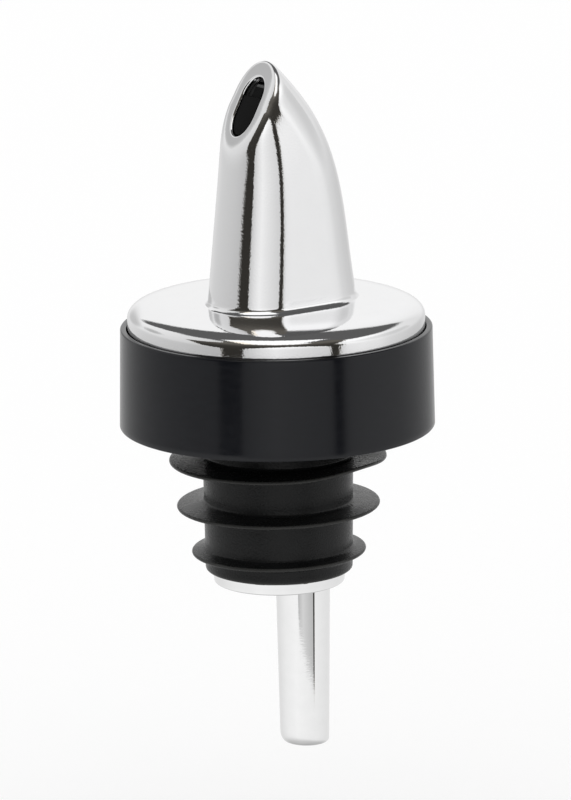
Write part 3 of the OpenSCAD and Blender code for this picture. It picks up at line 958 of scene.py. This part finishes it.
def gloss_black(finishes):
    """Moulded glossy plastic with faint scuffs and the slight unevenness of its mould."""
    material, nodes = new_finish("gloss_black")
    scuffs = nodes.noise(0.5 * MM, detail=5.0, stretch=(0.3, 0.3, 1.0))
    peel = nodes.noise(0.9 * MM)
    nodes.surface(
        Base_Color=nodes.mix(scuffs, solid(finishes.collar, 0.8), solid(finishes.collar, 1.25)),
        Roughness=0.1 + scuffs * 0.12,
        Specular_IOR_Level=0.33,
        Normal=nodes.bump(peel, 0.0015 * MM),
    )
    return material


# Pointiness at which a painted highlight lightens the rubber of an edge, and how softly that sets in
RIM_HIGHLIGHT_EDGE = 0.515
RIM_HIGHLIGHT_SOFT = 0.02


def matte_rubber(finishes):
    """Moulded rubber with a fine grain, a dusty bloom and a painted highlight on its sharp edges."""
    material, nodes = new_finish("matte_rubber")
    grain = nodes.noise(0.2 * MM, detail=3.0)
    bloom = nodes.noise(1.5 * MM, detail=4.0)
    # Painted highlight: sharp convex edges, such as the fins' rims, get the lighter rim colour
    rim_highlight = nodes.step(nodes.add("ShaderNodeNewGeometry", output="Pointiness"), RIM_HIGHLIGHT_EDGE, RIM_HIGHLIGHT_SOFT)
    skin = nodes.mix(grain * bloom, solid(finishes.rubber, 0.5), solid(finishes.rubber, 1.7))
    nodes.surface(
        Base_Color=nodes.mix(rim_highlight, skin, solid(finishes.rim_highlight)),
        Roughness=0.2 + bloom * 0.14,
        Specular_IOR_Level=0.2,
        Normal=nodes.bump(grain * 0.8 + bloom * 0.2, 0.05 * MM),
    )
    return material


def satin_black(finishes, name, roughness, shine):
    """Black plastic of the gate and liner, with the fine texture of its mould."""
    material, nodes = new_finish(name)
    texture = nodes.noise(0.15 * MM, detail=3.0)
    nodes.surface(
        Base_Color=nodes.mix(texture, solid(finishes.gate, 0.7), solid(finishes.gate, 1.4)),
        Roughness=roughness + texture * 0.1,
        Specular_IOR_Level=shine,
        Normal=nodes.bump(texture, 0.01 * MM),
    )
    return material


def drawn_steel(finishes, name, stretch):
    """Steel with fine lines along the way it was drawn."""
    material, nodes = new_finish(name)
    lines = nodes.noise(0.1 * MM, detail=3.0, stretch=stretch)
    nodes.surface(
        Base_Color=nodes.mix(lines, solid(finishes.steel, 0.85), solid(finishes.steel, 1.1)),
        Metallic=1.0,
        Roughness=0.22 + lines * 0.15,
        Normal=nodes.bump(lines, 0.003 * MM),
    )
    return material


def plain_floor(finishes):
    """Pale matte floor that is clear when seen from below."""
    material, nodes = new_finish("plain_floor")
    paint = nodes.add("ShaderNodeBsdfDiffuse", {}, {"Color": solid(finishes.floor)})
    clear = nodes.add("ShaderNodeBsdfTransparent")
    below = nodes.add("ShaderNodeNewGeometry", output="Backfacing")
    shader = nodes.add("ShaderNodeMixShader", {}, {0: below, 1: paint, 2: clear})
    nodes.add("ShaderNodeOutputMaterial", {}, {"Surface": shader})
    return material


def studio_world():
    """White light, and the room that the plating mirrors: walls, floor, ceiling, panel and dark side."""
    world = bpy.data.worlds.new("studio")
    nodes = Nodes(world)
    way = nodes.add("ShaderNodeTexCoord", output="Generated")
    x, y, z = [nodes.add("ShaderNodeSeparateXYZ", {}, {0: way}, output=axis) for axis in "XYZ"]
    degrees = 180 / math.pi
    azimuth = x.math("ARCTAN2", x, 0 - y) * degrees
    rise = z.math("ARCSINE", z) * degrees

    wall = nodes.graph(azimuth, WALL_LIGHT) * nodes.graph(rise, RISE_LIGHT)
    ceiling = nodes.step(rise - nodes.graph(azimuth, CEILING_EDGE), 0.0, CEILING_SOFT)
    room = nodes.blend(ceiling, wall, CEILING_LIGHT)
    for *place, light in GREY_SPOTS:
        room = room * nodes.blend(nodes.spot(azimuth, rise, *place), 1.0, light)

    side = nodes.step(azimuth - nodes.graph(rise, DARK_LEFT), 0.0, DARK_SOFT_SIDE)
    side = side * nodes.step(nodes.graph(rise, DARK_RIGHT) - azimuth, 0.0, DARK_SOFT_SIDE)
    side = side * nodes.step(rise - nodes.graph(azimuth, DARK_LOW), 0.0, DARK_SOFT_LOW)
    side = side * nodes.step(nodes.graph(azimuth, DARK_HIGH) - rise, 0.0, DARK_SOFT_HIGH)
    floor = nodes.step(nodes.graph(azimuth, FLOOR_EDGE) - rise, 0.0, FLOOR_SOFT)
    side = side * (1 - floor)
    room = nodes.blend(side, room, nodes.graph(rise, DARK_LIGHT))
    room = nodes.blend(floor, room, nodes.graph(azimuth, FLOOR_LIGHT) * nodes.graph(rise, FLOOR_FALL))

    turn = math.radians(PANEL_AZIMUTH)
    along = (x * math.sin(turn) - y * math.cos(turn)) / z
    across = (x * math.cos(turn) + y * math.sin(turn)) / z
    panel = nodes.band(along, *PANEL_ALONG, PANEL_SOFT) * nodes.band(across, *PANEL_ACROSS, PANEL_SOFT)
    panel = panel * nodes.step(z, *PANEL_CLIMB)
    room = nodes.blend(panel, room, PANEL_LIGHT)

    glossy = nodes.add("ShaderNodeLightPath", output="Is Glossy Ray")
    tint = nodes.mix(side, solid(WHITE), solid(DARK_TINT))
    seen = nodes.add("ShaderNodeVectorMath", {"operation": "SCALE"}, {0: tint, "Scale": room})
    colour_out = nodes.mix(glossy, solid(WHITE), seen)
    backdrop = nodes.add("ShaderNodeBackground", {}, {"Color": colour_out, "Strength": 1.0})
    nodes.add("ShaderNodeOutputWorld", {}, {"Surface": backdrop})
    return world


# Operators


class POURER_OT_spout(Operator):
    """Build the plated spout with its slanted mouth"""

    bl_idname = "pourer.spout"
    bl_label = "Spout"

    def execute(self, context):
        scene = context.scene
        mesh = ring_mesh("spout", spout_rings(scene.pourer_spout))
        add_piece(mesh, "spout_shell", "pourer", [bright_chrome(scene.pourer_finishes)])
        return {"FINISHED"}


class POURER_OT_cap(Operator):
    """Build the domed cap that the spout stands on"""

    bl_idname = "pourer.cap"
    bl_label = "Flange cap"

    def execute(self, context):
        scene = context.scene
        mesh = ring_mesh("domed_cap", cap_rings(scene.pourer_cap, scene.pourer_spout))
        add_piece(mesh, "flange_cap", "pourer", [bright_chrome(scene.pourer_finishes)])
        return {"FINISHED"}


class POURER_OT_collar(Operator):
    """Build the black collar"""

    bl_idname = "pourer.collar"
    bl_label = "Collar"

    def execute(self, context):
        scene = context.scene
        mesh = ring_mesh("black_collar", turned(collar_outline(scene.pourer_collar)))
        add_piece(mesh, "collar", "pourer", [gloss_black(scene.pourer_finishes)])
        return {"FINISHED"}


class POURER_OT_stopper(Operator):
    """Build the rubber stopper with its three fins"""

    bl_idname = "pourer.stopper"
    bl_label = "Stopper"

    def execute(self, context):
        scene = context.scene
        mesh = ring_mesh("finned_stopper", stopper_rings(scene.pourer_stopper))
        add_piece(mesh, "cork_sleeve", "pourer", [matte_rubber(scene.pourer_finishes)])
        return {"FINISHED"}


class POURER_OT_stem(Operator):
    """Build the stem with its disc, and the breather tube below it"""

    bl_idname = "pourer.stem"
    bl_label = "Stem and breather tube"

    def execute(self, context):
        scene = context.scene
        sizes = scene.pourer_stem
        plating = tumbled_chrome(scene.pourer_finishes)
        parts = [disc_mesh("disc", sizes), ring_mesh("stem_tube", turned(stem_outline(sizes)))]
        add_piece(joined("stem_and_disc", parts), "stem", "pourer", [plating, plating])
        tube = ring_mesh("air_tube", tube_rings(sizes))
        add_piece(tube, "breather_tube", "pourer", [plating])
        return {"FINISHED"}


class POURER_OT_gate(Operator):
    """Build the gate that swings in the mouth"""

    bl_idname = "pourer.gate"
    bl_label = "Gate"

    def execute(self, context):
        scene = context.scene
        mesh = gate_mesh("mouth_gate", scene.pourer_gate, scene.pourer_spout)
        leaf = satin_black(scene.pourer_finishes, "gate_leaf", roughness=0.6, shine=0.1)
        knuckle = satin_black(scene.pourer_finishes, "gate_knuckle", roughness=0.25, shine=0.8)
        add_piece(mesh, "gate_flap", "gate", [leaf, leaf, knuckle])
        return {"FINISHED"}


class POURER_OT_inner(Operator):
    """Finish the liner, the hinge pin and the air duct, which keep the shape of their solids"""

    bl_idname = "pourer.inner"
    bl_label = "Inner pieces"

    def execute(self, context):
        finishes = context.scene.pourer_finishes
        materials = {
            "inner_spout": satin_black(finishes, "liner", roughness=0.45, shine=0.3),
            "gate_pin": drawn_steel(finishes, "pin_steel", stretch=(0.1, 1.0, 1.0)),
            "air_duct": drawn_steel(finishes, "duct_steel", stretch=(1.0, 1.0, 0.1)),
        }
        for node, material in materials.items():
            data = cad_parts[node].data
            data.materials.clear()
            data.materials.append(material)
        return {"FINISHED"}


class POURER_OT_stage(Operator):
    """Build the floor, the light and the camera"""

    bl_idname = "pourer.stage"
    bl_label = "Stage"

    def execute(self, context):
        scene = context.scene
        stage = scene.pourer_stage
        self.add_floor(scene, stage)
        self.add_camera(scene, stage)
        scene.world = studio_world()
        scene.view_settings.view_transform = "Standard"
        return {"FINISHED"}

    def add_floor(self, scene, stage):
        """Adds the floor, which the plating doesn't mirror because the room has its own."""
        half = stage.floor_half
        corners = [(-half, -half), (half, -half), (half, half), (-half, half)]
        mesh = bpy.data.meshes.new("floor")
        mesh.from_pydata([(x, y, stage.floor_z) for x, y in corners], [], [(0, 1, 2, 3)])
        mesh.materials.append(plain_floor(scene.pourer_finishes))
        floor = bpy.data.objects.new("floor", mesh)
        floor.visible_glossy = False
        scene.collection.objects.link(floor)

    def add_camera(self, scene, stage):
        """Adds the camera at the photograph's view."""
        data = bpy.data.cameras.new("camera")
        data.sensor_width = 36.0
        data.lens = stage.lens
        data.clip_start = 0.01
        data.clip_end = 100.0
        azimuth, elevation = stage.azimuth, stage.elevation
        level = math.cos(elevation)
        back = Vector((math.sin(azimuth) * level, -math.cos(azimuth) * level, math.sin(elevation)))
        right = Vector((math.cos(azimuth), math.sin(azimuth), 0.0))
        aim = Vector((0.0, 0.0, stage.aim_z)) + right * stage.aim_right
        camera = bpy.data.objects.new("camera", data)
        place = Matrix.Translation(aim + back * stage.distance)
        turn = (-back).to_track_quat("-Z", "Y").to_matrix().to_4x4()
        camera.matrix_world = place @ turn @ Matrix.Rotation(-stage.roll, 4, "Z")
        scene.collection.objects.link(camera)
        scene.camera = camera


OPERATORS = (
    POURER_OT_spout,
    POURER_OT_cap,
    POURER_OT_collar,
    POURER_OT_stopper,
    POURER_OT_stem,
    POURER_OT_gate,
    POURER_OT_inner,
    POURER_OT_stage,
)


class POURER_PT_pieces(Panel):
    """Lists the pieces of the pourer with their sizes"""

    bl_label = "Bottle pourer"
    bl_idname = "POURER_PT_pieces"
    bl_space_type = "VIEW_3D"
    bl_region_type = "UI"
    bl_category = "Pourer"

    def draw(self, context):
        for operator in OPERATORS:
            self.layout.operator(operator.bl_idname)
        for name, group in SETTINGS.items():
            box = self.layout.box()
            settings = getattr(context.scene, name)
            for field in group.__annotations__:
                box.prop(settings, field)


CLASSES = (*SETTINGS.values(), *OPERATORS, POURER_PT_pieces)


def register():
    """Registers the classes and adds their settings to the scene."""
    for cls in CLASSES:
        bpy.utils.register_class(cls)
    for name, group in SETTINGS.items():
        setattr(bpy.types.Scene, name, PointerProperty(type=group))


def unregister():
    """Removes the settings and the classes."""
    for name in SETTINGS:
        delattr(bpy.types.Scene, name)
    for cls in reversed(CLASSES):
        bpy.utils.unregister_class(cls)


def main():
    """Builds every piece and the stage."""
    register()
    for operator in OPERATORS:
        family, name = operator.bl_idname.split(".")
        getattr(getattr(bpy.ops, family), name)()


if __name__ == "__main__":
    main()
